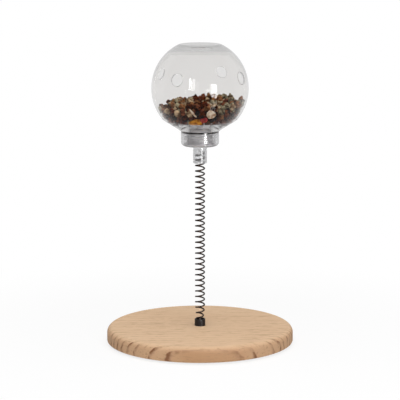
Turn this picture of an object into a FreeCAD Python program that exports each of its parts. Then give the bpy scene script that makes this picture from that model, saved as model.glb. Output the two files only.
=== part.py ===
import FreeCAD, Part
import math
import os

# Wooden cat treat tumbler: a pine disc, a coil spring that stands in a black seat at its centre, and a
# clear ball jar of treats, screwed upside down into a clear cap on top of the spring. Sizes are in mm.
# The origin is the centre of the plane that the foot pads rest on. +Z is up, the front is towards -Y.

# Base disc
disc_diameter = 190.0
disc_thickness = 15.5
disc_top_round = 6.0
disc_bottom_round = 2.0

# Foot pads
foot_count = 4
foot_diameter = 16.0
foot_thickness = 1.5
foot_centre_to_disc_edge = 17.0
foot_edge_round = 0.4

# Screw and washer under the disc
screw_diameter = 2.9
screw_thread_pitch = 1.1
screw_thread_depth = 0.35
screw_point_length = 2.0
screw_tip_below_post_top = 2.4
screw_head_diameter = 5.6
screw_head_height = 2.2
screw_head_round = 0.9
screw_recess_width = 0.9
screw_recess_span = 3.2
screw_recess_depth = 1.2
washer_diameter = 10.0
washer_thickness = 1.0
counterbore_depth = 3.6
wood_under_seat = 3.4

# Black seat of the spring
seat_height = 7.2
seat_cup_depth = 11.0
seat_wall = 1.0
seat_top_round = 0.8
seat_post_below_rim = 1.0
seat_post_round = 0.8

# Spring
wire_diameter = 1.5
coil_diameter = 8.9
spring_exposed_length = 160.8
coil_pitch = 5.65
bottom_coil_diameter = 6.4
bottom_coil_gap = 0.47
bottom_closed_turns = 1.5
bottom_ramp_turns = 1.0
bottom_flare_turns = 2.5
top_coil_diameter = 8.3
top_coil_pitch = 4.0
top_ramp_turns = 2.0
turns_step = 0.5
stations_per_turn = 4

# Screw cap with its stem
cap_diameter = 38.3
cap_height = 15.4
cap_wall = 1.5
cap_floor_thickness = 2.0
cap_bottom_round = 4.0
cap_inner_round = 1.5
cap_rim_round = 0.5
stem_length = 17.6
stem_bore_depth = 14.5
stem_wall = 1.5
stem_mouth_round = 0.9
stem_root_round = 0.8

# Thread between the cap and the jar's neck
thread_pitch = 3.0
thread_depth = 1.0
thread_base_width = 1.8
thread_crest_width = 0.9
thread_end_margin = 1.8

# Ball jar
ball_diameter = 97.8
ball_wall = 1.6
flat_top_diameter = 41.0
jar_base_thickness = 3.6
jar_ceiling_round = 24.0
top_edge_round = 6.0
inner_corner_round = 2.0
shoulder_diameter = 74.6
shoulder_slope = 32.5
floor_below_shoulder_edge = 1.2
shoulder_land_beyond_cap = 1.2
neck_wall = 2.6
neck_rim_round = 0.5
treat_hole_count = 4
treat_hole_diameter = 12.5
treat_hole_latitude = 15.0
treat_hole_turn = -29.0
treat_hole_bevel = 0.4

# Stopper in the neck
plug_flange_thickness = 1.2
plug_wall = 1.4
plug_roof_thickness = 1.5
plug_edge_round = 0.6

# Heap of treats
heap_edge_height = 18.1
heap_crown_rise = 6.9

# Clearances, each on one side
seat_clearance = 0.1
screw_hole_clearance = 0.25
counterbore_clearance = 1.0
screw_bite = 0.2
screw_tip_gap = 0.3
post_clearance = 0.3
spring_clearance = 0.25
spring_end_gap = 0.3
least_spring_gap = 0.4
thread_clearance = 0.4
cap_to_shoulder_gap = 0.4
plug_clearance = 0.15
flange_inset = 0.4
flange_gap = 0.05
heap_clearance = 0.3

# How far the root of a thread ridge reaches into the wall that carries it, and a cutter past a face
ridge_root = 0.2
cutter_overrun = 1.0

# Radii that follow from the fits
tail_bend_radius = wire_diameter
bottom_coil_radius = bottom_coil_diameter / 2
top_coil_radius = top_coil_diameter / 2
coil_radius = coil_diameter / 2
seat_post_radius = bottom_coil_radius - wire_diameter / 2 - post_clearance
seat_bore_radius = math.hypot(bottom_coil_radius, tail_bend_radius) + wire_diameter / 2 + spring_clearance
seat_radius = seat_bore_radius + seat_wall
stem_coil_reach = max(coil_radius, math.hypot(top_coil_radius, tail_bend_radius))
stem_bore_radius = stem_coil_reach + wire_diameter / 2 + spring_clearance
stem_radius = stem_bore_radius + stem_wall
screw_radius = screw_diameter / 2
screw_hole_radius = screw_radius + screw_hole_clearance
cap_radius = cap_diameter / 2
cap_bore_radius = cap_radius - cap_wall
cap_crest_radius = cap_bore_radius - thread_depth
neck_crest_radius = cap_bore_radius - thread_clearance
neck_root_radius = neck_crest_radius - thread_depth
neck_bore_radius = neck_root_radius - neck_wall
plug_radius = neck_bore_radius - plug_clearance
plug_flange_radius = neck_root_radius - flange_inset
ball_radius = ball_diameter / 2
ball_inner_radius = ball_radius - ball_wall
flat_top_radius = flat_top_diameter / 2
shoulder_radius = shoulder_diameter / 2
shoulder_land_radius = cap_radius + shoulder_land_beyond_cap

# Heights of the main faces, from the floor up
disc_bottom = foot_thickness
disc_top = disc_bottom + disc_thickness
counterbore_top = disc_bottom + counterbore_depth
screw_head_top = counterbore_top - washer_thickness
seat_bottom = counterbore_top + wood_under_seat
seat_top = disc_top + seat_height
seat_floor = seat_top - seat_cup_depth
seat_post_top = seat_top - seat_post_below_rim
screw_tip = seat_post_top - screw_tip_below_post_top
stem_bottom = seat_top + spring_exposed_length
stem_ceiling = stem_bottom + stem_bore_depth
cap_bottom = stem_bottom + stem_length
cap_floor = cap_bottom + cap_floor_thickness
cap_top = cap_bottom + cap_height
flange_bottom = cap_floor + flange_gap
flange_top = flange_bottom + plug_flange_thickness
neck_rim = flange_top + flange_gap
shoulder_land = cap_top + cap_to_shoulder_gap
shoulder_rise = (shoulder_radius - shoulder_land_radius) * math.tan(math.radians(shoulder_slope))
shoulder_edge = shoulder_land + shoulder_rise
ball_centre = shoulder_edge + math.sqrt(ball_radius**2 - shoulder_radius**2)
jar_floor = shoulder_edge - floor_below_shoulder_edge
jar_top = ball_centre + math.sqrt(ball_radius**2 - flat_top_radius**2)
jar_ceiling = jar_top - jar_base_thickness

AXIS = FreeCAD.Vector(0, 0, 1)
ORIGIN = FreeCAD.Vector(0, 0, 0)


def point(radius, height):
    """A point of a turned profile, which lies in the XZ plane."""
    return FreeCAD.Vector(radius, 0, height)


def turned(edges):
    """The solid that a closed profile of edges makes when it turns once round the Z axis."""
    return Part.Face(Part.Wire(edges)).revolve(ORIGIN, AXIS, 360)


def lines(points):
    """Straight edges through the points, one after the other."""
    return [Part.makeLine(a, b) for a, b in zip(points, points[1:])]


def rounded(solid, radius, corners):
    """The solid with a fillet on each circular edge that passes through one of the corners."""
    edges = []
    for edge in solid.Edges:
        if edge.Degenerated or not isinstance(edge.Curve, Part.Circle):
            continue
        if any(edge.distToShape(Part.Vertex(corner))[0] < 0.001 for corner in corners):
            edges.append(edge)
    return solid.makeFillet(radius, edges)


def cylinder(radius, bottom, top):
    """An upright cylinder on the Z axis."""
    return Part.makeCylinder(radius, top - bottom, point(0, bottom), AXIS)


def thread_ridge(base_radius, crest_radius, front_height, end_height):
    """A right-hand ridge that first passes the front at front_height and climbs to end_height."""
    outward = 1 if crest_radius > base_radius else -1
    root_radius = base_radius - outward * ridge_root
    slope = (thread_base_width - thread_crest_width) / 2 / thread_depth
    root_half = thread_base_width / 2 + slope * ridge_root
    crest_half = thread_crest_width / 2
    corners = [
        point(root_radius, -root_half),
        point(crest_radius, -crest_half),
        point(crest_radius, crest_half),
        point(root_radius, root_half),
    ]
    profile = Part.Wire(lines(corners + corners[:1]))
    path = Part.Wire(Part.makeHelix(thread_pitch, end_height - front_height, base_radius).Edges)
    ridge = path.makePipeShell([profile], True, True)
    ridge.rotate(ORIGIN, AXIS, -90)
    ridge.translate(point(0, front_height))
    return ridge


def make_base_disc():
    """Pine disc with a rounder top edge, the seat's socket, the screw's hole and the counterbore."""
    disc = cylinder(disc_diameter / 2, disc_bottom, disc_top)
    disc = rounded(disc, disc_top_round, [point(disc_diameter / 2, disc_top)])
    disc = rounded(disc, disc_bottom_round, [point(disc_diameter / 2, disc_bottom)])
    socket = cylinder(seat_radius + seat_clearance, seat_bottom, disc_top + cutter_overrun)
    screw_hole = cylinder(screw_hole_radius, disc_bottom, disc_top)
    counterbore_radius = washer_diameter / 2 + counterbore_clearance
    counterbore = cylinder(counterbore_radius, disc_bottom - cutter_overrun, counterbore_top)
    return disc.cut(socket).cut(screw_hole).cut(counterbore)


def make_foot_pad(index):
    """One soft round pad, stuck to the underside near the disc's edge."""
    angle = math.radians(360 / foot_count * (index + 0.5))
    distance = disc_diameter / 2 - foot_centre_to_disc_edge
    pad = cylinder(foot_diameter / 2, 0, foot_thickness)
    pad = rounded(pad, foot_edge_round, [point(foot_diameter / 2, 0)])
    pad.translate(FreeCAD.Vector(distance * math.cos(angle), distance * math.sin(angle), 0))
    return pad


def make_base_washer():
    """Plain washer on the ledge of the counterbore."""
    washer = cylinder(washer_diameter / 2, screw_head_top, counterbore_top)
    return washer.cut(cylinder(screw_hole_radius, disc_bottom, disc_top))


def make_base_screw():
    """Self-tapping screw with a pan head and a cross recess, its thread drawn as rings of one pitch."""
    head_bottom = screw_head_top - screw_head_height
    head_radius = screw_head_diameter / 2
    root_radius = screw_radius - screw_thread_depth
    thread_length = screw_tip - screw_point_length - seat_bottom
    ring_count = int(thread_length / screw_thread_pitch)
    outline = [
        point(0, head_bottom),
        point(head_radius, head_bottom),
        point(head_radius, screw_head_top),
        point(screw_radius, screw_head_top),
        point(screw_radius, seat_bottom),
    ]
    for ring in range(ring_count):
        ring_bottom = seat_bottom + ring * screw_thread_pitch
        outline.append(point(root_radius, ring_bottom + screw_thread_pitch / 2))
        outline.append(point(screw_radius, ring_bottom + screw_thread_pitch))
    outline.append(point(root_radius, screw_tip - screw_point_length))
    outline += [point(0, screw_tip), point(0, head_bottom)]
    screw = rounded(turned(lines(outline)), screw_head_round, [point(head_radius, head_bottom)])
    recess_low = head_bottom - cutter_overrun
    recess_corner = FreeCAD.Vector(-screw_recess_span / 2, -screw_recess_width / 2, recess_low)
    recess_height = screw_recess_depth + cutter_overrun
    for angle in (0, 90):
        slot = Part.makeBox(screw_recess_span, screw_recess_width, recess_height, recess_corner)
        slot.rotate(ORIGIN, AXIS, angle)
        screw = screw.cut(slot)
    return screw


def make_spring_seat():
    """Black cup let into the disc, with a post that fills the spring's end coils and takes the screw."""
    cup = cylinder(seat_radius, seat_bottom, seat_top)
    cup = rounded(cup, seat_top_round, [point(seat_radius, seat_top)])
    cup = cup.cut(cylinder(seat_bore_radius, seat_floor, seat_top + cutter_overrun))
    post = cylinder(seat_post_radius, seat_bottom, seat_post_top)
    post = rounded(post, seat_post_round, [point(seat_post_radius, seat_post_top)])
    pilot = cylinder(screw_radius - screw_bite, disc_bottom, screw_tip + screw_tip_gap)
    return cup.fuse(post).cut(pilot)


def smooth_step(share):
    """0 at and below 0, 1 at and above 1, with an even start and end between them."""
    share = min(max(share, 0.0), 1.0)
    return share * share * (3 - 2 * share)


def pitch_parts(turn, turns):
    """At a turn of the spring: the share of the body's pitch, and the fixed rise that is added to it."""
    closed_pitch = wire_diameter + bottom_coil_gap
    if turn > turns - top_ramp_turns:
        share = (turns - turn) / top_ramp_turns
        return share, top_coil_pitch * (1 - share)
    share = min(max((turn - bottom_closed_turns) / bottom_ramp_turns, 0.0), 1.0)
    return share, closed_pitch * (1 - share)


def pitch_sums(turns):
    """Sums of both pitch parts over all stations, as whole turns."""
    stations = range(round(turns * stations_per_turn))
    parts = [pitch_parts((station + 0.5) / stations_per_turn, turns) for station in stations]
    share_sum = sum(share for share, _ in parts) / stations_per_turn
    return share_sum, sum(rise for _, rise in parts) / stations_per_turn


def spring_stations():
    """Turn, radius and height at each station of the coils. Turns count up to 0 at the top end."""
    end_room = spring_end_gap + wire_diameter + tail_bend_radius
    low = seat_floor + end_room
    high = stem_ceiling - end_room
    turns = bottom_closed_turns + bottom_ramp_turns + top_ramp_turns
    share_sum, rise_sum = pitch_sums(turns)
    while share_sum * coil_pitch + rise_sum < high - low - coil_pitch * turns_step / 2:
        turns += turns_step
        share_sum, rise_sum = pitch_sums(turns)
    body_pitch = (high - low - rise_sum) / share_sum
    stations = []
    height = low
    for station in range(round(turns * stations_per_turn) + 1):
        turn = station / stations_per_turn
        flare = smooth_step((turn - bottom_closed_turns - bottom_ramp_turns) / bottom_flare_turns)
        taper = 1 - smooth_step((turns - turn) / top_ramp_turns)
        radius = bottom_coil_radius + (coil_radius - bottom_coil_radius) * flare
        radius -= (coil_radius - top_coil_radius) * taper
        stations.append((turn - turns, radius, height))
        share, rise = pitch_parts(turn + 0.5 / stations_per_turn, turns)
        height += (share * body_pitch + rise) / stations_per_turn
    return stations


def spring_point(turn, radius, height):
    """A point of the right-hand coils, whose top end lies at the back."""
    angle = math.radians(90 + 360 * turn)
    return FreeCAD.Vector(radius * math.cos(angle), radius * math.sin(angle), height)


def spring_tangents(stations):
    """Unit directions of the wire at the stations, from the climb and flare to their neighbours."""
    tangents = []
    for index, (turn, radius, _) in enumerate(stations):
        turn_before, radius_before, height_before = stations[max(index - 1, 0)]
        turn_after, radius_after, height_after = stations[min(index + 1, len(stations) - 1)]
        swept = 2 * math.pi * (turn_after - turn_before)
        angle = math.radians(90 + 360 * turn)
        outward = FreeCAD.Vector(math.cos(angle), math.sin(angle), 0)
        around = FreeCAD.Vector(-math.sin(angle), math.cos(angle), 0)
        tangent = around * radius + outward * ((radius_after - radius_before) / swept)
        tangent += AXIS * ((height_after - height_before) / swept)
        tangents.append(tangent.normalize())
    return tangents


def arc_from(start, tangent, end):
    """The arc that leaves start along tangent and runs to end."""
    chord = end - start
    along = FreeCAD.Vector(chord).normalize()
    side = tangent - along * tangent.dot(along)
    half_turn = math.atan2(side.Length, tangent.dot(along))
    middle = start + chord * 0.5 + side.normalize() * (chord.Length / 2 * math.tan(half_turn / 2))
    return Part.Arc(start, middle, end).toShape()


def biarc(start, start_tangent, end, end_tangent):
    """Two arcs that join smoothly, from one point and direction to the next."""
    gap = end - start
    both = start_tangent + end_tangent
    spread = 2 * (1 - start_tangent.dot(end_tangent))
    reach = (math.sqrt(gap.dot(both) ** 2 + 2 * spread * gap.dot(gap)) - gap.dot(both)) / (2 * spread)
    start_corner = start + start_tangent * reach
    end_corner = end - end_tangent * reach
    joint = (start_corner + end_corner) * 0.5
    joint_tangent = (end_corner - start_corner).normalize()
    return [arc_from(start, start_tangent, joint), arc_from(joint, joint_tangent, end)]


def coil_arcs(stations):
    """The arcs of the coils, two from each station to the next."""
    points = [spring_point(*station) for station in stations]
    tangents = spring_tangents(stations)
    arcs = []
    for index in range(len(points) - 1):
        arcs += biarc(points[index], tangents[index], points[index + 1], tangents[index + 1])
    return arcs


def tail_points(coil_end, tangent, upward):
    """Middle and end of the bend that turns the coil's end upright, and the end of the straight tail."""
    level = FreeCAD.Vector(tangent.x, tangent.y, 0).normalize()
    start_angle = math.atan2(math.hypot(tangent.x, tangent.y), tangent.z)

    def bend_point(angle):
        offset = level * (math.cos(angle) - math.cos(start_angle))
        offset += AXIS * (math.sin(start_angle) - math.sin(angle))
        return coil_end + offset * (tail_bend_radius * upward)

    bend_end = bend_point(0)
    return bend_point(start_angle / 2), bend_end, bend_end + AXIS * (wire_diameter * upward)


def least_gap(arcs):
    """Least clear distance between two turns of the wire, measured on points along its arcs."""
    points_per_arc = 4
    points_per_turn = 2 * stations_per_turn * points_per_arc
    points = []
    for arc in arcs:
        points += arc.discretize(points_per_arc + 1)[:-1]
    least = math.inf
    for index, here in enumerate(points):
        for other in points[index + points_per_turn // 2 : index + 2 * points_per_turn]:
            least = min(least, here.distanceToPoint(other))
    return least - wire_diameter


def make_spring():
    """One unbroken wire: a straight tail down in the seat, the coils, and a straight tail up the stem."""
    stations = spring_stations()
    tangents = spring_tangents(stations)
    low_point = spring_point(*stations[0])
    high_point = spring_point(*stations[-1])
    low_middle, low_bend, low_end = tail_points(low_point, tangents[0], -1)
    high_middle, high_bend, high_end = tail_points(high_point, tangents[-1], 1)
    coils = coil_arcs(stations)
    low_tail = [Part.makeLine(low_end, low_bend), Part.Arc(low_bend, low_middle, low_point).toShape()]
    high_tail = [Part.Arc(high_point, high_middle, high_bend).toShape(), Part.makeLine(high_bend, high_end)]
    path = Part.Wire(low_tail + coils + high_tail)
    section = Part.Wire(Part.makeCircle(wire_diameter / 2, low_end, AXIS))
    wire = path.makePipeShell([section], True, False)
    gap = least_gap(coils)
    volume_share = wire.Volume / (path.Length * math.pi * wire_diameter**2 / 4)
    wire_length = f"{-stations[0][0]} turns, {path.Length:.0f} mm of wire"
    print(f"spring: {wire_length}, volume over section times length {volume_share:.4f}")
    print(f"spring: least gap to itself {gap:.2f} mm, which should be over {least_spring_gap}")
    return wire


def make_screw_cap():
    """Clear cap with a thread ridge inside, and the stem below its floor that takes the spring's top end."""
    outline = [
        point(0, stem_ceiling),
        point(stem_bore_radius, stem_ceiling),
        point(stem_bore_radius, stem_bottom),
        point(stem_radius, stem_bottom),
        point(stem_radius, cap_bottom),
        point(cap_radius, cap_bottom),
        point(cap_radius, cap_top),
        point(cap_bore_radius, cap_top),
        point(cap_bore_radius, cap_floor),
        point(0, cap_floor),
        point(0, stem_ceiling),
    ]
    cap = turned(lines(outline))
    cap = rounded(cap, cap_bottom_round, [point(cap_radius, cap_bottom)])
    cap = rounded(cap, cap_inner_round, [point(cap_bore_radius, cap_floor)])
    cap = rounded(cap, stem_root_round, [point(stem_radius, cap_bottom)])
    cap = rounded(cap, stem_mouth_round, [point(stem_radius, stem_bottom)])
    cap = rounded(cap, cap_rim_round, [point(cap_radius, cap_top)])
    ridge_start = neck_rim + thread_end_margin + thread_pitch / 2
    ridge_end = cap_top - thread_end_margin
    return cap.fuse(thread_ridge(cap_bore_radius, cap_crest_radius, ridge_start, ridge_end))


def make_neck_plug():
    """Clear stopper: a flange between the neck's rim and the cap's floor, and a closed cup up the neck."""
    inner_radius = plug_radius - plug_wall
    roof_bottom = jar_floor - plug_roof_thickness
    outline = [
        point(0, roof_bottom),
        point(inner_radius, roof_bottom),
        point(inner_radius, flange_bottom),
        point(plug_flange_radius, flange_bottom),
        point(plug_flange_radius, flange_top),
        point(plug_radius, flange_top),
        point(plug_radius, jar_floor),
        point(0, jar_floor),
        point(0, roof_bottom),
    ]
    return rounded(turned(lines(outline)), plug_edge_round, [point(plug_radius, jar_floor)])


def sphere_point(radius, height):
    """A profile's point at a height of its sphere, which is round the ball's centre."""
    return point(math.sqrt(radius**2 - (height - ball_centre) ** 2), height)


def sphere_arc(radius, start, end):
    """A profile's arc round the ball's centre, between two heights."""
    ends = sphere_point(radius, start), sphere_point(radius, end)
    return Part.Arc(ends[0], sphere_point(radius, (start + end) / 2), ends[1]).toShape()


def treat_hole_cutter(angle):
    """A cutter that points out of the ball's centre at the holes' latitude and widens at the outer face."""
    radius = treat_hole_diameter / 2
    inner_end = ball_inner_radius - treat_hole_diameter
    outer_end = ball_radius + treat_hole_diameter / 2
    bevel_start = ball_radius - treat_hole_bevel
    outline = [
        point(0, inner_end),
        point(radius, inner_end),
        point(radius, bevel_start),
        point(radius + outer_end - bevel_start, outer_end),
        point(0, outer_end),
        point(0, inner_end),
    ]
    cutter = turned(lines(outline))
    cutter.rotate(ORIGIN, FreeCAD.Vector(0, 1, 0), 90 - treat_hole_latitude)
    cutter.rotate(ORIGIN, AXIS, angle)
    cutter.translate(point(0, ball_centre))
    return cutter


def make_ball_jar():
    """Clear ball jar, upside down: flat base on top, thin wall, thick shoulder, threaded neck."""
    floor_corner = sphere_point(ball_inner_radius, jar_floor)
    ceiling_corner = sphere_point(ball_inner_radius, jar_ceiling)
    neck_points = [
        point(shoulder_radius, shoulder_edge),
        point(shoulder_land_radius, shoulder_land),
        point(neck_root_radius, shoulder_land),
        point(neck_root_radius, neck_rim),
        point(neck_bore_radius, neck_rim),
        point(neck_bore_radius, jar_floor),
        floor_corner,
    ]
    base_points = [ceiling_corner, point(0, jar_ceiling), point(0, jar_top), point(flat_top_radius, jar_top)]
    edges = [sphere_arc(ball_radius, jar_top, shoulder_edge)] + lines(neck_points)
    edges += [sphere_arc(ball_inner_radius, jar_floor, jar_ceiling)] + lines(base_points)
    jar = turned(edges)
    jar = rounded(jar, top_edge_round, [point(flat_top_radius, jar_top)])
    jar = rounded(jar, jar_ceiling_round, [ceiling_corner])
    jar = rounded(jar, inner_corner_round, [floor_corner])
    jar = rounded(jar, neck_rim_round, [point(neck_root_radius, neck_rim)])
    for hole in range(treat_hole_count):
        jar = jar.cut(treat_hole_cutter(treat_hole_turn + 360 / treat_hole_count * hole))
    ridge_start = neck_rim + thread_end_margin
    ridge_end = shoulder_land - thread_end_margin
    return jar.fuse(thread_ridge(neck_root_radius, neck_crest_radius, ridge_start, ridge_end))


def make_treats():
    """The heap of dry treats as one mound that fills the lower part of the ball and is crowned on top."""
    heap_radius = ball_inner_radius - heap_clearance
    heap_bottom = jar_floor + heap_clearance
    heap_edge = jar_floor + heap_edge_height
    bottom_corner = sphere_point(heap_radius, heap_bottom)
    top_corner = sphere_point(heap_radius, heap_edge)
    crown_radius = (top_corner.x**2 + heap_crown_rise**2) / (2 * heap_crown_rise)
    crown_centre = heap_edge + heap_crown_rise - crown_radius
    middle = point(top_corner.x / 2, crown_centre + math.sqrt(crown_radius**2 - (top_corner.x / 2) ** 2))
    crown = point(0, heap_edge + heap_crown_rise)
    edges = lines([crown, point(0, heap_bottom), bottom_corner])
    edges += [sphere_arc(heap_radius, heap_bottom, heap_edge), Part.Arc(top_corner, middle, crown).toShape()]
    return rounded(turned(edges), inner_corner_round, [bottom_corner])


nodes = {
    "base_disc": make_base_disc(),
    "base_washer": make_base_washer(),
    "base_screw": make_base_screw(),
    "spring_seat": make_spring_seat(),
    "spring": make_spring(),
    "screw_cap": make_screw_cap(),
    "neck_plug": make_neck_plug(),
    "ball_jar": make_ball_jar(),
    "treats": make_treats(),
}
for foot in range(foot_count):
    nodes[f"foot_pad_{foot + 1}"] = make_foot_pad(foot)

os.makedirs("parts", exist_ok=True)
for name, shape in nodes.items():
    shape.exportStep(f"parts/{name}.step")
    box = shape.BoundBox
    heights = f"z {box.ZMin:.2f} to {box.ZMax:.2f}"
    print(f"{name}: {len(shape.Solids)} solid, valid {shape.isValid()}, {shape.Volume:.1f} mm3, {heights}")
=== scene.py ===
import math

import bpy
import numpy as np
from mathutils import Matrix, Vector


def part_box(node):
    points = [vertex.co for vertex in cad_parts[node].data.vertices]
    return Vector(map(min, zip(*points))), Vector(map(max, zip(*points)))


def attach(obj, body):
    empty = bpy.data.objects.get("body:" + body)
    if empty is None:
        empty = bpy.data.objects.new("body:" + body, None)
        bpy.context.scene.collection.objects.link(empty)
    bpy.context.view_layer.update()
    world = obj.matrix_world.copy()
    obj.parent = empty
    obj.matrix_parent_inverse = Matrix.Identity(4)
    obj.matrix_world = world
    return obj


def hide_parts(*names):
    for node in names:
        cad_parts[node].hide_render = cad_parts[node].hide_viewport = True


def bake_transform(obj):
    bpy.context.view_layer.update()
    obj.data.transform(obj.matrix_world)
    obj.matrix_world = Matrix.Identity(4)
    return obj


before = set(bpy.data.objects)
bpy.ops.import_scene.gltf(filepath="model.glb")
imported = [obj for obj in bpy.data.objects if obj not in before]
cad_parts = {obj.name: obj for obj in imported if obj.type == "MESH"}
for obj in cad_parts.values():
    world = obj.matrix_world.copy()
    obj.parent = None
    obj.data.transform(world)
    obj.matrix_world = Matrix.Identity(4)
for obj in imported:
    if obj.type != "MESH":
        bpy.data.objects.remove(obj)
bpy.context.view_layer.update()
mm = 0.001

# Camera: it stands nearly two metres in front of the object and half a metre above the floor, has a long
# lens and looks down 9.7 degrees. It sees the disc from about 13.5 degrees above and the ball from 6.
disc_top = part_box("base_disc")[1].z
camera_distance = 1869.3 * mm
camera_above_disc = 450.4 * mm
camera_pitch = 9.724
lens_length = 168.54
sensor_width = 36.0

camera = bpy.data.objects.new("camera", bpy.data.cameras.new("camera"))
camera.data.sensor_width = sensor_width
camera.data.lens = lens_length
camera.location = (0.0, -camera_distance, disc_top + camera_above_disc)
camera.rotation_euler = (math.radians(90 - camera_pitch), 0.0, 0.0)
bpy.context.scene.collection.objects.link(camera)
bpy.context.scene.camera = camera

# Base disc: a round of plain-sawn pine, 190 mm wide and 15.5 mm thick, turned, sanded and thinly oiled.
# The trunk's heart lay in front of the board and a little below it, so the growth rings cut the rounded
# edge as slanting arcs and the top face as long faint lines from left to right.


def srgb(code):
    """A colour written as #RRGGBB, as the linear red, green, blue and alpha that a socket takes."""
    parts = [int(code[i : i + 2], 16) / 255 for i in (1, 3, 5)]
    return [c / 12.92 if c <= 0.04045 else ((c + 0.055) / 1.055) ** 2.4 for c in parts] + [1.0]


def add(tree, kind, inputs=None, **settings):
    """Adds a shader node with its settings. An input is a value or the socket that feeds it, under
    its name, or its number where several share a name: a colour Mix has 0, 6 and 7."""
    made = tree.nodes.new("ShaderNode" + kind)
    for name, value in settings.items():
        setattr(made, name, value)
    for name, value in (inputs or {}).items():
        if isinstance(value, bpy.types.NodeSocket):
            tree.links.new(value, made.inputs[name])
        else:
            made.inputs[name].default_value = value
    return made


def finish_for(name, **sockets):
    """A new material with one Principled shader. Returns the material, its tree and that shader."""
    material = bpy.data.materials.new(name)
    material.use_nodes = True
    tree = material.node_tree
    shader = tree.nodes["Principled BSDF"]
    for socket, value in sockets.items():
        shader.inputs[socket.replace("_", " ")].default_value = value
    return material, tree, shader


def dress(node, material):
    """Gives a CAD node its material."""
    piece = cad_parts[node]
    piece.data.materials.clear()
    piece.data.materials.append(material)


heart_in_front = 104.0 * mm
heart_below_top = 24.0 * mm
heart_tilt = (0.0, math.radians(1.0), math.radians(2.5))
ring_width = 7.2 * mm
ring_wander, wander_length = 13.0 * mm, 55.0 * mm
ring_ripple, ripple_length = 2.0 * mm, 7.0 * mm
grain_stretch = 0.22
late_wood_starts, late_wood_full = 0.5, 0.9
faintest_ring, boldest_ring = 0.05, 1.35
ring_on_face = 0.3
ring_fade = 7.0 * mm
colour_patch = 28.0 * mm
grain_relief = 0.15 * mm
# The fibres run from left to right, so the edge shows them lengthwise at the front and back, where the
# rings are faint, and cut across at the left and right, where they are clear. The same reach also makes
# the edge darker in its middle than at its ends, which is painted shade.
edge_middle = 12.0 * mm
long_grain_reach = 22.0 * mm
end_grain_reach = 50.0 * mm
ring_on_long_grain = 0.25
# Streaks along the grain: width, width over length, detail, the noise at which one starts and is full,
# its strongest cover and its colour. Real fibres are 0.04 mm wide and resin canals 0.2 mm. Both, and the
# dashes where a canal lies open, are drawn coarser, so that they show.
streaks = {
    "fibre": (0.45 * mm, 0.02, 3.0, 0.3, 0.7, 0.22, "#B98E66"),
    "canal": (0.7 * mm, 0.07, 1.0, 0.62, 0.72, 0.22, "#A37C58"),
    "dash": (1.6 * mm, 0.1, 1.0, 0.6, 0.7, 0.6, "#A98663"),
}

# Oiled pine to the eye: pale straw and nearly matt, with a faint broad sheen, a brown line for the late
# wood of each year, and fine darker streaks along the grain.
pine, tree, shader = finish_for(
    "Pine, sanded and oiled", IOR=1.5, Roughness=0.6, Specular_IOR_Level=0.15
)
place = add(tree, "TexCoord").outputs["Object"]
slow = add(tree, "Mapping", {"Vector": place, "Scale": (grain_stretch, 1.0, 1.0)}).outputs["Vector"]
bent = place
for reach, length, kind in (
    (ring_wander, wander_length, {"Detail": 2.0, "Roughness": 0.45}),
    (ring_ripple, ripple_length, {"Detail": 3.0}),
):
    shift = add(tree, "TexNoise", {"Vector": slow, "Scale": 1 / length, **kind}).outputs["Color"]
    shift = add(tree, "VectorMath", {0: shift, 1: (0.5, 0.5, 0.5)}, operation="SUBTRACT").outputs["Vector"]
    shift = add(tree, "VectorMath", {0: shift, "Scale": 2 * reach}, operation="SCALE").outputs["Vector"]
    bent = add(tree, "VectorMath", {0: bent, 1: shift}, operation="ADD").outputs["Vector"]
heart = (0.0, -heart_in_front, disc_top - heart_below_top)
trunk = add(
    tree, "Mapping", {"Vector": bent, "Location": heart, "Rotation": heart_tilt}, vector_type="TEXTURE"
).outputs["Vector"]
from_heart = add(tree, "VectorMath", {0: trunk, 1: (0.0, 1.0, 1.0)}, operation="MULTIPLY").outputs["Vector"]
from_heart = add(tree, "VectorMath", {0: from_heart}, operation="LENGTH").outputs["Value"]
ring = add(tree, "Math", {0: from_heart, 1: ring_width}, operation="DIVIDE").outputs[0]
season = add(tree, "Math", {0: ring}, operation="FRACT").outputs[0]
rise = add(
    tree,
    "MapRange",
    {"Value": season, "From Min": late_wood_starts, "From Max": late_wood_full},
    interpolation_type="SMOOTHSTEP",
).outputs["Result"]
fall = add(
    tree,
    "MapRange",
    {"Value": season, "From Min": late_wood_full, "From Max": 1.0, "To Min": 1.0, "To Max": 0.0},
).outputs["Result"]
late_wood = add(tree, "Math", {0: rise, 1: fall}, operation="MULTIPLY").outputs[0]
year = add(tree, "Math", {0: ring}, operation="FLOOR").outputs[0]
boldness = add(tree, "TexWhiteNoise", {"W": year}, noise_dimensions="1D").outputs["Value"]
boldness = add(
    tree, "MapRange", {"Value": boldness, "To Min": faintest_ring, "To Max": boldest_ring}
).outputs["Result"]
# How level the surface is: 1 on the face and 0 on the upright edge.
level = add(tree, "NewGeometry").outputs["Normal"]
level = add(tree, "SeparateXYZ", {0: level}).outputs["Z"]
level = add(tree, "Math", {0: level}, operation="ABSOLUTE").outputs[0]
on_edge = add(
    tree,
    "MapRange",
    {"Value": level, "From Min": 0.45, "From Max": 0.98, "To Min": 1.0, "To Max": ring_on_face},
).outputs["Result"]
off_middle = add(tree, "SeparateXYZ", {0: bent}).outputs["X"]
off_middle = add(tree, "Math", {0: off_middle, 1: edge_middle}, operation="SUBTRACT").outputs[0]
off_middle = add(tree, "Math", {0: off_middle}, operation="ABSOLUTE").outputs[0]
to_ends = add(
    tree, "MapRange", {"Value": off_middle, "From Min": long_grain_reach, "From Max": end_grain_reach}
).outputs["Result"]
clear_rings = add(
    tree, "MapRange", {"Value": to_ends, "To Min": ring_on_long_grain, "To Max": 1.0}
).outputs["Result"]
fade = add(tree, "TexNoise", {"Vector": place, "Scale": 1 / ring_fade, "Detail": 2.0}).outputs["Fac"]
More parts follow.
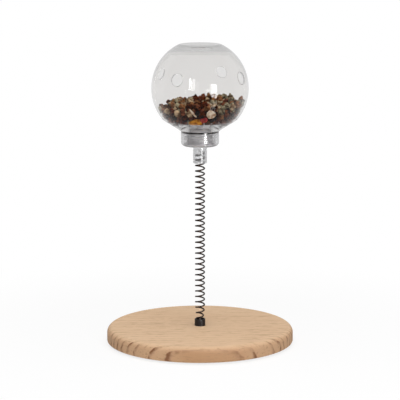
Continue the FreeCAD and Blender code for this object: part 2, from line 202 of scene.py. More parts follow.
fade = add(
    tree, "MapRange", {"Value": fade, "From Min": 0.4, "From Max": 0.6, "To Min": 0.3, "To Max": 1.25}
).outputs["Result"]
for share in (boldness, on_edge, clear_rings, fade):
    late_wood = add(tree, "Math", {0: late_wood, 1: share}, operation="MULTIPLY").outputs[0]
patches = add(tree, "TexNoise", {"Vector": slow, "Scale": 1 / colour_patch, "Detail": 1.0}).outputs["Fac"]
face = add(tree, "Mix", {0: patches, 6: srgb("#E1C3A2"), 7: srgb("#D7B694")}, data_type="RGBA").outputs[2]
# Painted shade: the edge is darkest in its middle, front and back, where the front lamp lights it most, and
# paler at its left and right ends. It is also darker than the face, partly because cut wood is darker and
# partly as painted shade.
edge = add(tree, "Mix", {0: to_ends, 6: srgb("#BC926C"), 7: srgb("#CCA683")}, data_type="RGBA").outputs[2]
cut = add(
    tree, "MapRange", {"Value": level, "From Min": 0.35, "From Max": 0.95, "To Min": 1.0, "To Max": 0.0}
).outputs["Result"]
wood = add(tree, "Mix", {0: cut, 6: face, 7: edge}, data_type="RGBA").outputs[2]
wood = add(tree, "Mix", {0: late_wood, 6: wood, 7: srgb("#7D5238")}, data_type="RGBA").outputs[2]
drawn = {}
for name, (width, narrowed, detail, starts, full, cover, colour) in streaks.items():
    along_grain = add(tree, "Mapping", {"Vector": bent, "Scale": (narrowed, 1.0, 1.0)}).outputs["Vector"]
    noise = {"Vector": along_grain, "Scale": 1 / width, "Detail": detail}
    drawn[name] = add(tree, "TexNoise", noise).outputs["Fac"]
    covered = add(
        tree, "MapRange", {"Value": drawn[name], "From Min": starts, "From Max": full, "To Max": cover}
    ).outputs["Result"]
    wood = add(tree, "Mix", {0: covered, 6: wood, 7: srgb(colour)}, data_type="RGBA").outputs[2]
tree.links.new(wood, shader.inputs["Base Color"])
relief = add(tree, "Math", {0: late_wood, 1: drawn["fibre"]}, operation="ADD").outputs[0]
bump = add(tree, "Bump", {"Height": relief, "Strength": 0.25, "Distance": grain_relief})
tree.links.new(bump.outputs["Normal"], shader.inputs["Normal"])
dress("base_disc", pine)

# Foot pads: four round pads punched from white EVA foam with a glued back, stuck under the disc near
# its edge. The cut face shows the foam's small closed cells.
foam_cell = 0.4 * mm
foam_pit = 0.1 * mm
# Foam to the eye: an off-white with no gloss, slightly pitted.
eva_foam, tree, shader = finish_for("EVA foam, closed cell", Roughness=0.85, IOR=1.45)
place = add(tree, "TexCoord").outputs["Object"]
cells = add(tree, "TexVoronoi", {"Vector": place, "Scale": 1 / foam_cell}).outputs["Distance"]
foam = add(tree, "Mix", {0: cells, 6: srgb("#CFCBC3"), 7: srgb("#E2DFD8")}, data_type="RGBA").outputs[2]
tree.links.new(foam, shader.inputs["Base Color"])
bump = add(tree, "Bump", {"Height": cells, "Strength": 0.5, "Distance": foam_pit})
tree.links.new(bump.outputs["Normal"], shader.inputs["Normal"])
for pad in ("foot_pad_1", "foot_pad_2", "foot_pad_3", "foot_pad_4"):
    dress(pad, eva_foam)

# Screw and washer: a pan head self-tapping screw and a plain washer of zinc-plated steel, let into the
# counterbore under the disc. The screw goes up through the disc into the spring seat and holds it.


def mottle(tree, shader, patch, detail, dark, light, roughness=None):
    """Clouds a surface in patches of a size, in colour and, if given, in roughness. Returns the clouds."""
    place = add(tree, "TexCoord").outputs["Object"]
    cloud = add(tree, "TexNoise", {"Vector": place, "Scale": 1 / patch, "Detail": detail}).outputs["Fac"]
    colour = add(tree, "Mix", {0: cloud, 6: srgb(dark), 7: srgb(light)}, data_type="RGBA").outputs[2]
    tree.links.new(colour, shader.inputs["Base Color"])
    if roughness:
        smooth, dull = roughness
        matt = add(tree, "MapRange", {"Value": cloud, "To Min": smooth, "To Max": dull}).outputs["Result"]
        tree.links.new(matt, shader.inputs["Roughness"])
    return cloud


zinc_cloud = 1.5 * mm
# Zinc plate to the eye: bright grey metal, a little cloudy from the plating bath.
zinc, tree, shader = finish_for("Steel, zinc-plated", Metallic=1.0, Roughness=0.34)
mottle(tree, shader, zinc_cloud, 3.0, "#B9BDC0", "#D3D6D8", roughness=(0.28, 0.42))
dress("base_screw", zinc)
dress("base_washer", zinc)

# Spring seat: a cup moulded in black ABS, let into the top of the disc, with a post that stands inside
# the spring's lowest coils and takes the screw.
flow_mark = 2.5 * mm
flow_relief = 0.05 * mm
# Black ABS from a polished mould to the eye: near black, with a soft gloss and a trace of flow marks.
black_abs, tree, shader = finish_for(
    "ABS, black, moulded", IOR=1.53, Roughness=0.3, Specular_IOR_Level=0.25
)
flow = mottle(tree, shader, flow_mark, 2.0, "#141316", "#221F22", roughness=(0.24, 0.38))
bump = add(tree, "Bump", {"Height": flow, "Strength": 0.2, "Distance": flow_relief})
tree.links.new(bump.outputs["Normal"], shader.inputs["Normal"])
dress("spring_seat", black_abs)

# Spring: one coil of 1.5 mm steel wire, wound right-handed with an open pitch, drawn in at both ends and
# blackened by oil tempering. It stands in the seat and its top end goes up into the cap's stem. It is
# made here as two halves that meet at its middle. Sizes are in mm.
wire_diameter = 1.5
coil_radius = 4.45
bottom_coil_radius = 3.2
top_coil_radius = 4.15
bottom_coil_gap = 0.47
bottom_closed_turns = 1.5
bottom_ramp_turns = 1.0
bottom_flare_turns = 2.5
top_coil_pitch = 4.0
top_ramp_turns = 2.0
spring_turns = 33.5
top_end_angle = 90.0
steps_per_turn = 40
bend_points = 9
wire_sides = 14
wire_end_bevel = 0.12
wire_end_inset = 0.75
wire_end_dome = 1.3

seat_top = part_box("spring_seat")[1].z
stem_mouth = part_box("screw_cap")[0].z
spring_middle = (seat_top + stem_mouth) / 2
spring_low, spring_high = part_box("spring")


def smooth_step(share):
    """0 at and below 0, 1 at and above 1, with an even start and end between them."""
    share = np.clip(share, 0.0, 1.0)
    return share * share * (3 - 2 * share)


def spring_line():
    """Points on the wire's axis in metres, from the straight lower end to the straight upper end."""
    steps = round(spring_turns * steps_per_turn)
    turn = np.arange(steps + 1) / steps_per_turn
    middle = (turn[1:] + turn[:-1]) / 2
    from_top = spring_turns - middle
    share = np.clip((middle - bottom_closed_turns) / bottom_ramp_turns, 0.0, 1.0)
    share = np.minimum(share, np.clip(from_top / top_ramp_turns, 0.0, 1.0))
    fixed_pitch = np.where(from_top < top_ramp_turns, top_coil_pitch, wire_diameter + bottom_coil_gap)
    fixed_rise = (fixed_pitch * (1 - share)).sum() / steps_per_turn
    end_room = 2 * wire_diameter * mm
    low = spring_low.z + end_room
    high = spring_high.z - end_room
    pitch = ((high - low) / mm - fixed_rise) / (share.sum() / steps_per_turn)
    rises = (share * pitch + fixed_pitch * (1 - share)) / steps_per_turn
    height = low / mm + np.concatenate([[0.0], np.cumsum(rises)])
    flare = smooth_step((turn - bottom_closed_turns - bottom_ramp_turns) / bottom_flare_turns)
    taper = 1 - smooth_step((spring_turns - turn) / top_ramp_turns)
    radius = bottom_coil_radius + (coil_radius - bottom_coil_radius) * flare
    radius -= (coil_radius - top_coil_radius) * taper
    angle = np.radians(top_end_angle) + 2 * np.pi * (turn - spring_turns)
    coil = np.stack([radius * np.cos(angle), radius * np.sin(angle), height], axis=1)
    low_end = straight_end(coil[0], coil[0] - coil[1], -1)
    high_end = straight_end(coil[-1], coil[-1] - coil[-2], 1)
    return np.concatenate([low_end[::-1], coil, high_end]) * mm


def straight_end(coil_end, onward, upward):
    """The bend of one wire diameter that turns the coil's end upright, and the straight bit after it."""
    run = np.hypot(onward[0], onward[1])
    outward = onward * (1, 1, 0) / run
    start = math.atan2(run, onward[2] * upward)
    points = []
    for angle in np.linspace(start, 0.0, bend_points)[1:]:
        out = math.cos(angle) - math.cos(start)
        up = math.sin(start) - math.sin(angle)
        points.append(coil_end + wire_diameter * (outward * out + np.array([0, 0, upward]) * up))
    points.append(points[-1] + np.array([0, 0, upward * wire_diameter]))
    return np.array(points)


def wire_mesh(name, line, capped_start, capped_end):
    """A round wire along a line of points, with slightly domed ends where it is capped."""
    heading = np.gradient(line, axis=0)
    heading /= np.linalg.norm(heading, axis=1)[:, None]
    # The first side may be any that isn't along the wire. Each next one is the last one, turned as little
    # as it can be.
    side = np.cross(heading[0], (0.3, 0.9, 0.2))
    side /= np.linalg.norm(side)
    sides = []
    for direction in heading:
        side = side - direction * (side @ direction)
        side /= np.linalg.norm(side)
        sides.append(side)
    sides = np.array(sides)
    other = np.cross(heading, sides)
    around = 2 * np.pi * np.arange(wire_sides) / wire_sides
    radius = wire_diameter / 2 * mm
    rings = [sides * math.cos(a) * radius + other * math.sin(a) * radius for a in around]
    rings = np.stack(rings, axis=1) + line[:, None, :]
    points = list(rings.reshape(-1, 3))
    faces = []
    for ring in range(len(line) - 1):
        for k in range(wire_sides):
            after = (k + 1) % wire_sides
            first, second = ring * wire_sides, (ring + 1) * wire_sides
            faces.append((first + k, first + after, second + after, second + k))
    if capped_start:
        faces += wire_end(points, line[0], -heading[0], 0, -1)
    if capped_end:
        faces += wire_end(points, line[-1], heading[-1], (len(line) - 1) * wire_sides, 1)
    mesh = bpy.data.meshes.new(name)
    mesh.from_pydata([tuple(p) for p in points], [], faces)
    mesh.shade_smooth()
    return mesh


def wire_end(points, centre, onward, first, turned):
    """Adds a domed end to the wire: one inner ring and a middle point. Returns its faces."""
    bevel = wire_end_bevel * mm
    inner = len(points)
    for k in range(wire_sides):
        points.append(centre + (points[first + k] - centre) * wire_end_inset + onward * bevel)
    points.append(centre + onward * bevel * wire_end_dome)
    faces = []
    for k in range(wire_sides):
        after = (k + 1) % wire_sides
        band = (first + k, first + after, inner + after, inner + k)
        fan = (inner + k, inner + after, len(points) - 1)
        faces += [band[::turned], fan[::turned]]
    return faces


temper_mark = 3.0 * mm
# Tempered wire to the eye: a brown-black oxide that still shines as metal, blotchy every few mm.
tempered, tree, shader = finish_for("Spring steel, oil tempered", Metallic=1.0, Roughness=0.38)
mottle(tree, shader, temper_mark, 4.0, "#2A211E", "#3F3531", roughness=(0.3, 0.48))

# Each half: its part of the line, whether its start and end are capped, the bodies below and above, and
# the heights between which it turns from the one to the other.
line = spring_line()
middle_point = int(np.argmin(np.abs(line[:, 2] - spring_middle)))
lower_line, upper_line = line[: middle_point + 1], line[middle_point:]
halves = {
    "spring_lower_half": (lower_line, True, False, "base", "spring", seat_top, spring_middle),
    "spring_upper_half": (upper_line, False, True, "spring", "cap", spring_middle, stem_mouth),
}
for name, (part, start_capped, end_capped, below, above, low, high) in halves.items():
    half = bpy.data.objects.new(name, wire_mesh(name, part, start_capped, end_capped))
    bpy.context.scene.collection.objects.link(half)
    half.data.materials.append(tempered)
    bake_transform(half)
    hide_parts("spring")

# Screw cap: moulded in clear polystyrene, a low cup with one thread inside, and under its floor a hollow
# stem that holds the top of the spring.
trapped_after = 3.5


def clear_plastic(name, ior, absorbed_per_mm, gloss):
    """Clear moulded plastic. Lamp light passes it unbent, so that what is inside is lit, and so does a
    ray that keeps bouncing within the wall, so that thick places don't turn black."""
    material, tree, shader = finish_for(name, IOR=ior, Roughness=0.0, Transmission_Weight=1.0)
    shader.inputs["Specular Tint"].default_value = (gloss, gloss, gloss, 1.0)
    path = add(tree, "LightPath")
    passed = add(
        tree, "Math", {0: path.outputs["Glossy Depth"], 1: trapped_after}, operation="GREATER_THAN"
    ).outputs[0]
    for kind in ("Is Shadow Ray", "Is Diffuse Ray"):
        passed = add(tree, "Math", {0: path.outputs[kind], 1: passed}, operation="MAXIMUM").outputs[0]
    straight = add(tree, "BsdfTransparent", {"Color": srgb("#F4F4F4")}).outputs[0]
    both = add(tree, "MixShader", {0: passed, 1: shader.outputs[0], 2: straight}).outputs[0]
    tree.links.new(both, tree.nodes["Material Output"].inputs["Surface"])
    grey = add(tree, "VolumeAbsorption", {"Color": srgb("#000000"), "Density": absorbed_per_mm / mm})
    tree.links.new(grey.outputs[0], tree.nodes["Material Output"].inputs["Volume"])
    return material, tree, shader


cap_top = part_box("screw_cap")[1].z
cap_haze = 0.13
stem_haze = 0.3
haze_ends = (stem_mouth + 14 * mm, stem_mouth + 16 * mm)
# Painted shade: the rim starts darkening 1.7 mm below the cap's top and is fully dark brown above 1.2 mm
# below it.
rim_shade_starts = (cap_top - 1.7 * mm, cap_top - 1.2 * mm)
# Clear polystyrene to the eye: faintly grey, with bright edges and blurred reflections. The stem, rubbed
# by the wire, is hazier than the cup. The top of the rim is painted dark brown, a painted shade for the
# gap under the jar's shoulder.
cap_plastic, tree, shader = clear_plastic(
    "Polystyrene, clear, moulded", ior=1.59, absorbed_per_mm=0.005, gloss=0.5
)
place = add(tree, "TexCoord").outputs["Object"]
height = add(tree, "SeparateXYZ", {0: place}).outputs["Z"]
rim_shade = add(
    tree, "MapRange", {"Value": height, "From Min": rim_shade_starts[0], "From Max": rim_shade_starts[1]}
).outputs["Result"]
# The dark brown mixed in here is painted shade at the rim's top, not a colour of the plastic.
tint = add(tree, "Mix", {0: rim_shade, 6: srgb("#F5F5F6"), 7: srgb("#2A2220")}, data_type="RGBA").outputs[2]
tree.links.new(tint, shader.inputs["Base Color"])
haze = add(
    tree,
    "MapRange",
    {
        "Value": height,
        "From Min": haze_ends[0],
        "From Max": haze_ends[1],
        "To Min": stem_haze,
        "To Max": cap_haze,
    },
).outputs["Result"]
tree.links.new(haze, shader.inputs["Roughness"])
dress("screw_cap", cap_plastic)

# Stopper: a cup moulded in natural polyethylene and pushed into the jar's neck, its flange between the
# neck's rim and the cap's floor, so that the treats stay in the ball and out of the cap.
milky_patch = 5.0 * mm
# Natural polyethylene to the eye: milky and waxy, so that what lies behind is only a glow.
plug_plastic, tree, shader = finish_for(
    "Polyethylene, natural, milky", IOR=1.52, Roughness=0.4, Transmission_Weight=0.25
)
mottle(tree, shader, milky_patch, 2.0, "#DCD8DC", "#EAE8EA")
dress("neck_plug", plug_plastic)

# Ball jar: blown in clear PET and turned upside down, so its thick flat base is on top and its threaded
# neck is in the cap. Four round treat holes, a quarter turn apart, are drilled through the wall above
# its middle. Sizes are in mm and turns in degrees.
base_above_centre = 44.4
hole_turn = -29.0
hole_rise = 15.0
hole_radius = 6.25
matt_to, clear_from = hole_radius + 0.1, hole_radius + 0.4
jar_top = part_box("ball_jar")[1].z
ball_centre_height = jar_top / mm - base_above_centre
# Blown PET to the eye: colourless and thin, with dim sharp reflections, bright only at its rims. The
# drill left the edges of the holes matt.
jar_plastic, tree, shader = clear_plastic(
    "PET, clear, blown", ior=1.57, absorbed_per_mm=0.002, gloss=0.22
)
shader.inputs["Base Color"].default_value = srgb("#FCFBFA")
place = add(tree, "TexCoord").outputs["Object"]
from_centre = add(
    tree,
    "Mapping",
    {
        "Vector": place,
        "Location": (0.0, 0.0, ball_centre_height * mm),
        "Rotation": (0.0, 0.0, math.radians(hole_turn)),
    },
    vector_type="TEXTURE",
).outputs["Vector"]
# The four holes fall on one: the larger of |x| and |y| points at a hole and the smaller lies beside it.
from_centre = add(tree, "SeparateXYZ", {0: from_centre})
x_size = add(tree, "Math", {0: from_centre.outputs["X"]}, operation="ABSOLUTE").outputs[0]
y_size = add(tree, "Math", {0: from_centre.outputs["Y"]}, operation="ABSOLUTE").outputs[0]
towards = add(tree, "Math", {0: x_size, 1: y_size}, operation="MAXIMUM").outputs[0]
beside = add(tree, "Math", {0: x_size, 1: y_size}, operation="MINIMUM").outputs[0]
spot = add(tree, "CombineXYZ", {0: towards, 1: beside, 2: from_centre.outputs["Z"]}).outputs[0]
hole_axis = (math.cos(math.radians(hole_rise)), 0.0, math.sin(math.radians(hole_rise)))
from_axis = add(tree, "VectorMath", {0: spot, 1: hole_axis}, operation="CROSS_PRODUCT").outputs["Vector"]
from_axis = add(tree, "VectorMath", {0: from_axis}, operation="LENGTH").outputs["Value"]
drilled = add(
    tree,
    "MapRange",
    {
        "Value": from_axis,
        "From Min": matt_to * mm,
        "From Max": clear_from * mm,
        "To Min": 1.0,
        "To Max": 0.0,
    },
).outputs["Result"]
tree.links.new(drilled, shader.inputs["Roughness"])
dress("ball_jar", jar_plastic)

# Treats: baked cat kibble of 6 to 8 mm in five pressed shapes, poured into the ball, with a few larger
# freeze-dried pieces against the front wall. It is packed by pushing overlapping pieces apart while
# they sink, so that they lie on each other, on the floor and on the wall. Sizes are in mm.
heap_low, heap_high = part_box("treats")
ball_inside = 46.95
heap_gap = 0.1
heap_floor = heap_low.z / mm - ball_centre_height + heap_gap
kibble_radius = 3.9
kibble_half_height = 1.9
kibble_room = 5.9
loosely_placed = 0.3
smallest_kibble, largest_kibble = 0.85, 1.08
poured_above = 0.6
pour_height = heap_high.z / mm + poured_above - ball_centre_height
pour_slope_right = 0.095
pour_slope_back = 0.035
pour_fall_at_wall = 5.0
settle_steps = 60
pushes_per_step = 3
sink_per_step = 0.1
push_gain = 1.3
near_reach = 2 * kibble_radius + 1.5
near_again_after = 4


def kibble_balls():
    """Seven balls that stand for one kibble while it settles: one at its middle and six round it."""
    reach = kibble_radius - kibble_half_height
    around = np.arange(6) * np.pi / 3
    ring = np.stack([reach * np.cos(around), reach * np.sin(around), 0 * around], axis=1)
    return np.concatenate([[[0.0, 0.0, 0.0]], ring])


def pour(random):
    """Starting points of the kibbles, one in each cell of a loose grid below the heap's surface."""
    room = ball_inside - kibble_half_height
    across = np.arange(-room, room, kibble_room)
    up = np.arange(heap_floor + kibble_half_height, 0, kibble_room)
    spot = np.stack(np.meshgrid(across, across, up, indexing="ij"), axis=-1).reshape(-1, 3)
    spot += random.uniform(-loosely_placed, loosely_placed, spot.shape) * kibble_room
    x, y, z = spot.T
    surface = pour_height + pour_slope_right * x + pour_slope_back * y
    surface -= pour_fall_at_wall * (x * x + y * y) / ball_inside**2
    held = np.linalg.norm(spot, axis=1) < room
    held &= (z > heap_floor) & (z < surface - kibble_half_height / 2)
    return spot[held]


def settle(random):
    """Centres, axes and sizes of kibbles that have settled in the ball, in mm from its centre."""
    spot = pour(random)
    count = len(spot)
    size = random.uniform(smallest_kibble, largest_kibble, count)
    axes = np.linalg.qr(random.normal(size=(count, 3, 3)))[0]
    axes *= np.sign(np.linalg.det(axes))[:, None, None]
    rest = kibble_balls()[None] * size[:, None, None]
    balls = spot[:, None, :] + rest @ axes.transpose(0, 2, 1)
    ball_size = np.repeat(kibble_half_height * size[:, None], rest.shape[1], axis=1)
    for step in range(settle_steps):
        balls[:, :, 2] -= sink_per_step * (1 - step / settle_steps)
        middle = balls.mean(axis=1)
        if step % near_again_after == 0:
            apart = np.linalg.norm(middle[:, None] - middle[None], axis=2)
            near_a, near_b = np.nonzero(np.triu(apart < near_reach, 1))
        for _ in range(pushes_per_step):
            gap = balls[near_a][:, :, None] - balls[near_b][:, None]
            far = np.linalg.norm(gap, axis=3)
            touch = ball_size[near_a][:, :, None] + ball_size[near_b][:, None] - far
            pair, i, j = np.nonzero(touch > 0)
            push = gap[pair, i, j] / (far[pair, i, j][:, None] + 1e-9) * touch[pair, i, j][:, None] / 2
            move = np.zeros_like(balls)
            hits = np.zeros(balls.shape[:2])
            np.add.at(move, (near_a[pair], i), push)
            np.add.at(move, (near_b[pair], j), -push)
            np.add.at(hits, (near_a[pair], i), 1)
            np.add.at(hits, (near_b[pair], j), 1)
            balls += move / np.maximum(hits, 1)[..., None] * push_gain
            balls[..., 2] = np.maximum(balls[..., 2], heap_floor + ball_size)
            out = np.linalg.norm(balls, axis=2)
            balls *= (np.minimum(out, ball_inside - ball_size) / out)[..., None]
            # Each kibble stays rigid: it takes the place and turn that fit its seven balls best.
            spot = balls.mean(axis=1)
            u, _, v = np.linalg.svd(np.einsum("nki,nkj->nij", balls - spot[:, None], rest))
            u[:, :, 2] *= np.sign(np.linalg.det(u @ v))[:, None]
            axes = u @ v
            balls = spot[:, None] + rest @ axes.transpose(0, 2, 1)
    return spot, axes, size


kibble_sides = 20
# Rings from one face to the other: distance out and height, as shares of the radius and half height.
kibble_profile = [
    (0.42, 0.72),
    (0.74, 0.95),
    (0.93, 0.72),
    (1.0, 0.0),
    (0.93, -0.72),
    (0.74, -0.95),
    (0.42, -0.72),
]
face_middle = 0.55
lump_size = 0.12
lump_spread = 2.2
unevenness = 0.05
kibble_outlines = {
    "round": lambda a: 1.0 + 0 * a,
    "three_lobed": lambda a: 0.82 + 0.22 * np.cos(3 * a),
    "cross": lambda a: 0.82 + 0.22 * np.cos(4 * a),
    "star": lambda a: 0.86 + 0.17 * np.cos(5 * a),
    "bean": lambda a: 1 / np.sqrt(np.cos(a) ** 2 + (np.sin(a) / 0.62) ** 2),
}
shapes_per_outline = 4


def kibble_shape(outline, random):
    """Points of one kibble, puffed at its rim, dimpled on both faces and uneven all over."""
    around = 2 * np.pi * np.arange(kibble_sides) / kibble_sides
    reach = outline(around) * kibble_radius
    rows = [[(0.0, 0.0, face_middle * kibble_half_height)]]
    for out, up in kibble_profile:
        ring = np.zeros((kibble_sides, 3))
        ring[:, 0] = reach * out * np.cos(around)
        ring[:, 1] = reach * out * np.sin(around)
        ring[:, 2] = up * kibble_half_height
        rows.append(ring)
    rows.append([(0.0, 0.0, -face_middle * kibble_half_height)])
    points = np.concatenate(rows)
    lumps = random.normal(size=(3, 3)) / kibble_radius
    swell = 1 + lump_size * np.sin(points @ lumps.T * lump_spread).sum(axis=1, keepdims=True)
    return points * swell * (1 + unevenness * random.uniform(-1, 1, points.shape))


def kibble_faces():
    """Faces of a kibble: a fan on each side and bands between its rings."""
    faces = []
    rings = len(kibble_profile)
    last = 1 + rings * kibble_sides
    for k in range(kibble_sides):
        after = (k + 1) % kibble_sides
        faces.append((0, 1 + k, 1 + after))
        faces.append((last, last - kibble_sides + after, last - kibble_sides + k))
        for ring in range(rings - 1):
            upper = 1 + ring * kibble_sides
            lower = upper + kibble_sides
            faces.append((upper + k, lower + k, lower + after, upper + after))
    return faces


def kibble_group(name, material, kibbles):
    """One object that holds all kibbles of a colour."""
    count = len(kibbles[0])
    faces_of_one = kibble_faces()
    faces = []
    for k in range(len(kibbles)):
        faces += [tuple(index + count * k for index in face) for face in faces_of_one]
    mesh = bpy.data.meshes.new(name)
    mesh.from_pydata([tuple(p) for p in np.concatenate(kibbles) * mm], [], faces)
    mesh.shade_smooth()
    piece = bpy.data.objects.new(name, mesh)
    bpy.context.scene.collection.objects.link(piece)
    piece.data.materials.append(material)
    return piece


browned_patch = 4.5 * mm
# The skin's pits are about 0.3 mm across and are drawn coarser, so that they show.
skin_pit = 0.8 * mm
pit_depth = 0.6 * mm


def kibble_finish(name, dark, light):
    """Baked kibble to the eye: dry and crumbly with no gloss, pitted, and browned in patches."""
    material, tree, shader = finish_for(name, Roughness=0.72, Specular_IOR_Level=0.0)
    place = add(tree, "TexCoord").outputs["Object"]
    patch = {"Vector": place, "Scale": 1 / browned_patch, "Detail": 4.0}
    browned = add(tree, "TexNoise", patch).outputs["Fac"]
    browned = add(
        tree, "MapRange", {"Value": browned, "From Min": 0.4, "From Max": 0.6}
    ).outputs["Result"]
    skin = add(tree, "Mix", {0: browned, 6: srgb(dark), 7: srgb(light)}, data_type="RGBA").outputs[2]
    pits = add(tree, "TexNoise", {"Vector": place, "Scale": 1 / skin_pit, "Detail": 3.0}).outputs["Fac"]
    tree.links.new(skin, shader.inputs["Base Color"])
    bump = add(tree, "Bump", {"Height": pits, "Strength": 0.9, "Distance": pit_depth})
    tree.links.new(bump.outputs["Normal"], shader.inputs["Normal"])
    return material


kibble_colours = {
    # Deep brown is a darker copy of the browns and is used only low in the heap, as painted shade.
    "deep_brown": ("#180500", "#552208"),
    "dark_brown": ("#1C0A03", "#70402A"),
    "brown": ("#33190B", "#8E5F3C"),
    "red_brown": ("#3A1008", "#7E4630"),
    "tan": ("#5E452F", "#BCA180"),
    "olive": ("#4A3E2E", "#A79B7E"),
    "amber": ("#8A4F10", "#C8862C"),
    "beige": ("#A98468", "#E2D2BC"),
    "red": ("#7A1F22", "#A83A3C"),
    "black": ("#15110F", "#2A2320"),
}
# The shares of each colour low and high in the heap. Low in the heap the mix is darker, with deep brown,
# as painted shade for the dim depth of the heap. The change between the two mixes is at a height above
# the ball's centre, and lies higher in the heap's middle.
low_mix = {
    "deep_brown": 0.52,
    "dark_brown": 0.18,
    "brown": 0.1,
    "red_brown": 0.16,
    "tan": 0.03,
    "olive": 0.01,
}
high_mix = {"dark_brown": 0.11, "brown": 0.25, "red_brown": 0.04, "tan": 0.31, "olive": 0.29}
mix_change = -25.0
mix_change_spread = 5.0
change_higher_by = 15.0
change_higher_within = 13.0
# Larger pieces against the front wall: their colour, mm to the right of the ball's centre and above it,
# half their length and width in mm, and how far their length turns from level, in degrees.
front_pieces = [
    ("amber", -4.0, -29.5, 6.6, 3.4, 8.0),
    ("beige", 11.5, -21.5, 4.9, 4.3, -30.0),
    ("red", 3.2, -27.0, 3.9, 2.6, 25.0),
    ("black", -3.0, -21.0, 3.4, 2.4, 70.0),
    ("black", 12.6, -28.0, 4.2, 1.5, 40.0),
    ("beige", -6.2, -20.5, 5.4, 0.8, -52.0),
]
front_off_wall = 1.9
front_flatness = 0.7
cleared_round = 1.2
cleared_deep = 3.2
# Kibbles are drawn a little smaller than the balls that stood for them, so that they don't cut in.
drawn_size = 0.96

random = np.random.default_rng(7)
centres, kibble_axes, sizes = settle(random)
kibble_count = len(centres)
shapes = [
    kibble_shape(outline, random)
    for outline in kibble_outlines.values()
    for _ in range(shapes_per_outline)
]
low_colours = random.choice(list(low_mix), size=kibble_count, p=list(low_mix.values()))
high_colours = random.choice(list(high_mix), size=kibble_count, p=list(high_mix.values()))
change = mix_change + random.uniform(-mix_change_spread, mix_change_spread, kibble_count)
change += change_higher_by * np.exp(-((centres[:, 0] / change_higher_within) ** 2))
# Kibbles below the change take the darker low mix, which is painted shade.
colours = np.where(centres[:, 2] < change, low_colours, high_colours)
groups = {colour: [] for colour in kibble_colours}
left_in = np.ones(kibble_count, dtype=bool)
for colour, right, up, half_length, half_width, tilt in front_pieces:
    from_middle = ball_inside - front_off_wall
    spot = np.array([right, -math.sqrt(from_middle**2 - right**2 - up**2), up])
    outward = spot / from_middle
    sideways = np.cross((0.0, 0.0, 1.0), outward)
    sideways /= np.linalg.norm(sideways)
    upward = np.cross(outward, sideways)
    turn = math.radians(tilt)
    lengthwise = sideways * math.cos(turn) + upward * math.sin(turn)
    piece_axes = np.stack([lengthwise, np.cross(outward, lengthwise), outward], axis=1)
    away = (centres - spot) @ piece_axes
    clear = (away[:, 0] / (half_length + cleared_round)) ** 2
    clear += (away[:, 1] / (half_width + cleared_round)) ** 2
    left_in &= (clear > 1) | (np.abs(away[:, 2]) > cleared_deep)
    shape = kibble_shape(kibble_outlines["round"], random)
    shape = shape * (half_length / kibble_radius, half_width / kibble_radius, front_flatness)
    groups[colour].append(shape @ piece_axes.T + spot + (0, 0, ball_centre_height))
for index in np.nonzero(left_in)[0]:
    shape = shapes[random.integers(len(shapes))] * sizes[index] * drawn_size
    placed = shape @ kibble_axes[index].T + centres[index] + (0, 0, ball_centre_height)
    groups[str(colours[index])].append(placed)
for colour, kibbles in groups.items():
    if kibbles:
        baked = kibble_finish(f"Kibble, baked, {colour.replace('_', ' ')}", *kibble_colours[colour])
        group = kibble_group(f"kibble_{colour}", baked, kibbles)
        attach(group, "jar")
        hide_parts("treats")

# Studio: a wide white floor that keeps the object's soft shadow and fades to plain white, tall window
# lights in front that only gloss shows, two soft lights, and an even fill from all round. In metres.
floor_reach = 12.0
floor_below = 0.2 * mm
shadow_near, shadow_far = 0.16, 0.42
white_near = 0.8
seen_in_front = 0.3
seen_on_floor_behind = 0.78
seen_above_floor = 0.68
world_fill = 0.18


def backdrop(tree, depth, front, back, brightest, white_share):
    """How far a ray sees glowing backdrop instead of what the lamps light, and how bright that is. The
    camera sees a share of plain white. What gloss and clear plastic show is dim in front of the object
    and brighter behind it."""
    path = add(tree, "LightPath")
    camera_ray, gloss = path.outputs["Is Camera Ray"], path.outputs["Is Glossy Ray"]
    through = path.outputs["Is Transmission Ray"]
    seen = add(tree, "Math", {0: through, 1: gloss}, operation="MAXIMUM").outputs[0]
    seen = add(tree, "Math", {0: camera_ray, 1: white_share, 2: seen}, operation="MULTIPLY_ADD").outputs[0]
    bright = add(
        tree,
        "MapRange",
        {"Value": depth, "From Min": front, "From Max": back, "To Min": seen_in_front, "To Max": brightest},
        interpolation_type="SMOOTHSTEP",
    ).outputs["Result"]
    return seen, add(tree, "Math", {0: bright, 1: camera_ray}, operation="MAXIMUM").outputs[0]


# White floor paint to the eye: matt, a little under white, so that a shadow shows on it.
floor_finish = bpy.data.materials.new("Studio floor, white")
floor_finish.use_nodes = True
tree = floor_finish.node_tree
tree.nodes.clear()
place = add(tree, "TexCoord").outputs["Object"]
far_off = add(tree, "VectorMath", {0: place}, operation="LENGTH").outputs["Value"]
plain_white = add(
    tree,
    "MapRange",
    {
        "Value": far_off,
        "From Min": shadow_near,
        "From Max": shadow_far,
        "To Min": white_near,
        "To Max": 1.0,
    },
    interpolation_type="SMOOTHSTEP",
).outputs["Result"]
depth = add(tree, "SeparateXYZ", {0: place}).outputs["Y"]
seen, bright = backdrop(
    tree, depth, front=-0.3, back=0.5, brightest=seen_on_floor_behind, white_share=plain_white
)
paint = add(tree, "BsdfDiffuse", {"Color": srgb("#F2F2F2")}).outputs[0]
glow = add(tree, "Emission", {"Color": srgb("#FFFFFF"), "Strength": bright}).outputs[0]
both = add(tree, "MixShader", {0: seen, 1: paint, 2: glow}).outputs[0]
add(tree, "OutputMaterial", {"Surface": both})

floor_mesh = bpy.data.meshes.new("studio_floor")
corners = [(x * floor_reach, y * floor_reach, 0) for x, y in ((-1, -1), (1, -1), (1, 1), (-1, 1))]
floor_mesh.from_pydata(corners, [], [(0, 1, 2, 3)])
floor_mesh.materials.append(floor_finish)
floor = bpy.data.objects.new("studio_floor", floor_mesh)
floor.location.z = -floor_below
bpy.context.scene.collection.objects.link(floor)


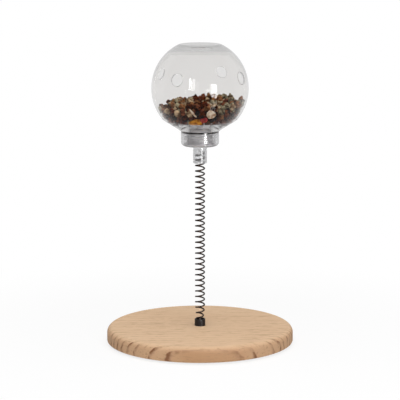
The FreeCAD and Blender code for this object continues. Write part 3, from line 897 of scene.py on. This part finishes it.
def lamp(name, azimuth, height, distance, width, tall, brightness, aim):
    """A rectangular lamp at an azimuth from the front, in degrees to the right, that faces its aim. Its
    brightness is that of its face, where 1 is white."""
    light = bpy.data.lights.new(name, "AREA")
    light.shape = "RECTANGLE"
    light.size = width
    light.size_y = tall
    light.energy = brightness * math.pi * width * tall
    holder = bpy.data.objects.new(name, light)
    turn = math.radians(azimuth)
    holder.location = (distance * math.sin(turn), -distance * math.cos(turn), height)
    holder.rotation_euler = (Vector((0, 0, aim)) - holder.location).to_track_quat("-Z", "Y").to_euler()
    holder.visible_camera = False
    holder.visible_transmission = False
    bpy.context.scene.collection.objects.link(holder)
    return holder


# Each lamp: azimuth, height, distance, width, height of its face, brightness and the height it aims at.
ball_height = ball_centre_height * mm
window_lights = {
    "window_left": (-22.5, 0.47, 0.8, 0.10, 0.36, 36.0, ball_height),
    "window_left_wing": (-15.5, 0.45, 0.8, 0.13, 0.38, 14.0, ball_height),
    "window_left_pane": (-7.0, 0.385, 0.8, 0.13, 0.34, 3.0, ball_height),
    "window_right": (33.0, 0.25, 0.8, 0.19, 0.44, 36.0, 0.24),
    "window_right_wing": (25.0, 0.32, 0.8, 0.11, 0.30, 11.0, ball_height),
    "window_right_on_table": (33.0, 0.09, 0.24, 0.07, 0.14, 4.0, ball_height),
}
soft_lights = {
    "soft_light_above": (5.0, 1.5, 0.3, 1.7, 1.7, 2.9, 0.1),
    "soft_light_front": (10.0, 0.6, 1.6, 1.2, 0.8, 2.2, 0.15),
}
for name, sizes_and_place in window_lights.items():
    lamp(name, *sizes_and_place).visible_diffuse = False
for name, sizes_and_place in soft_lights.items():
    lamp(name, *sizes_and_place).visible_glossy = False

world = bpy.data.worlds.new("studio")
bpy.context.scene.world = world
world.use_nodes = True
tree = world.node_tree
tree.nodes.clear()
direction = add(tree, "TexCoord").outputs["Generated"]
depth = add(tree, "SeparateXYZ", {0: direction}).outputs["Y"]
seen, bright = backdrop(
    tree, depth, front=-0.5, back=0.5, brightest=seen_above_floor, white_share=1.0
)
fill = add(tree, "Background", {"Color": srgb("#FFFFFF"), "Strength": world_fill}).outputs[0]
white = add(tree, "Background", {"Color": srgb("#FFFFFF"), "Strength": bright}).outputs[0]
both = add(tree, "MixShader", {0: seen, 1: fill, 2: white}).outputs[0]
add(tree, "OutputWorld", {"Surface": both})

bpy.context.scene.view_settings.view_transform = "Standard"
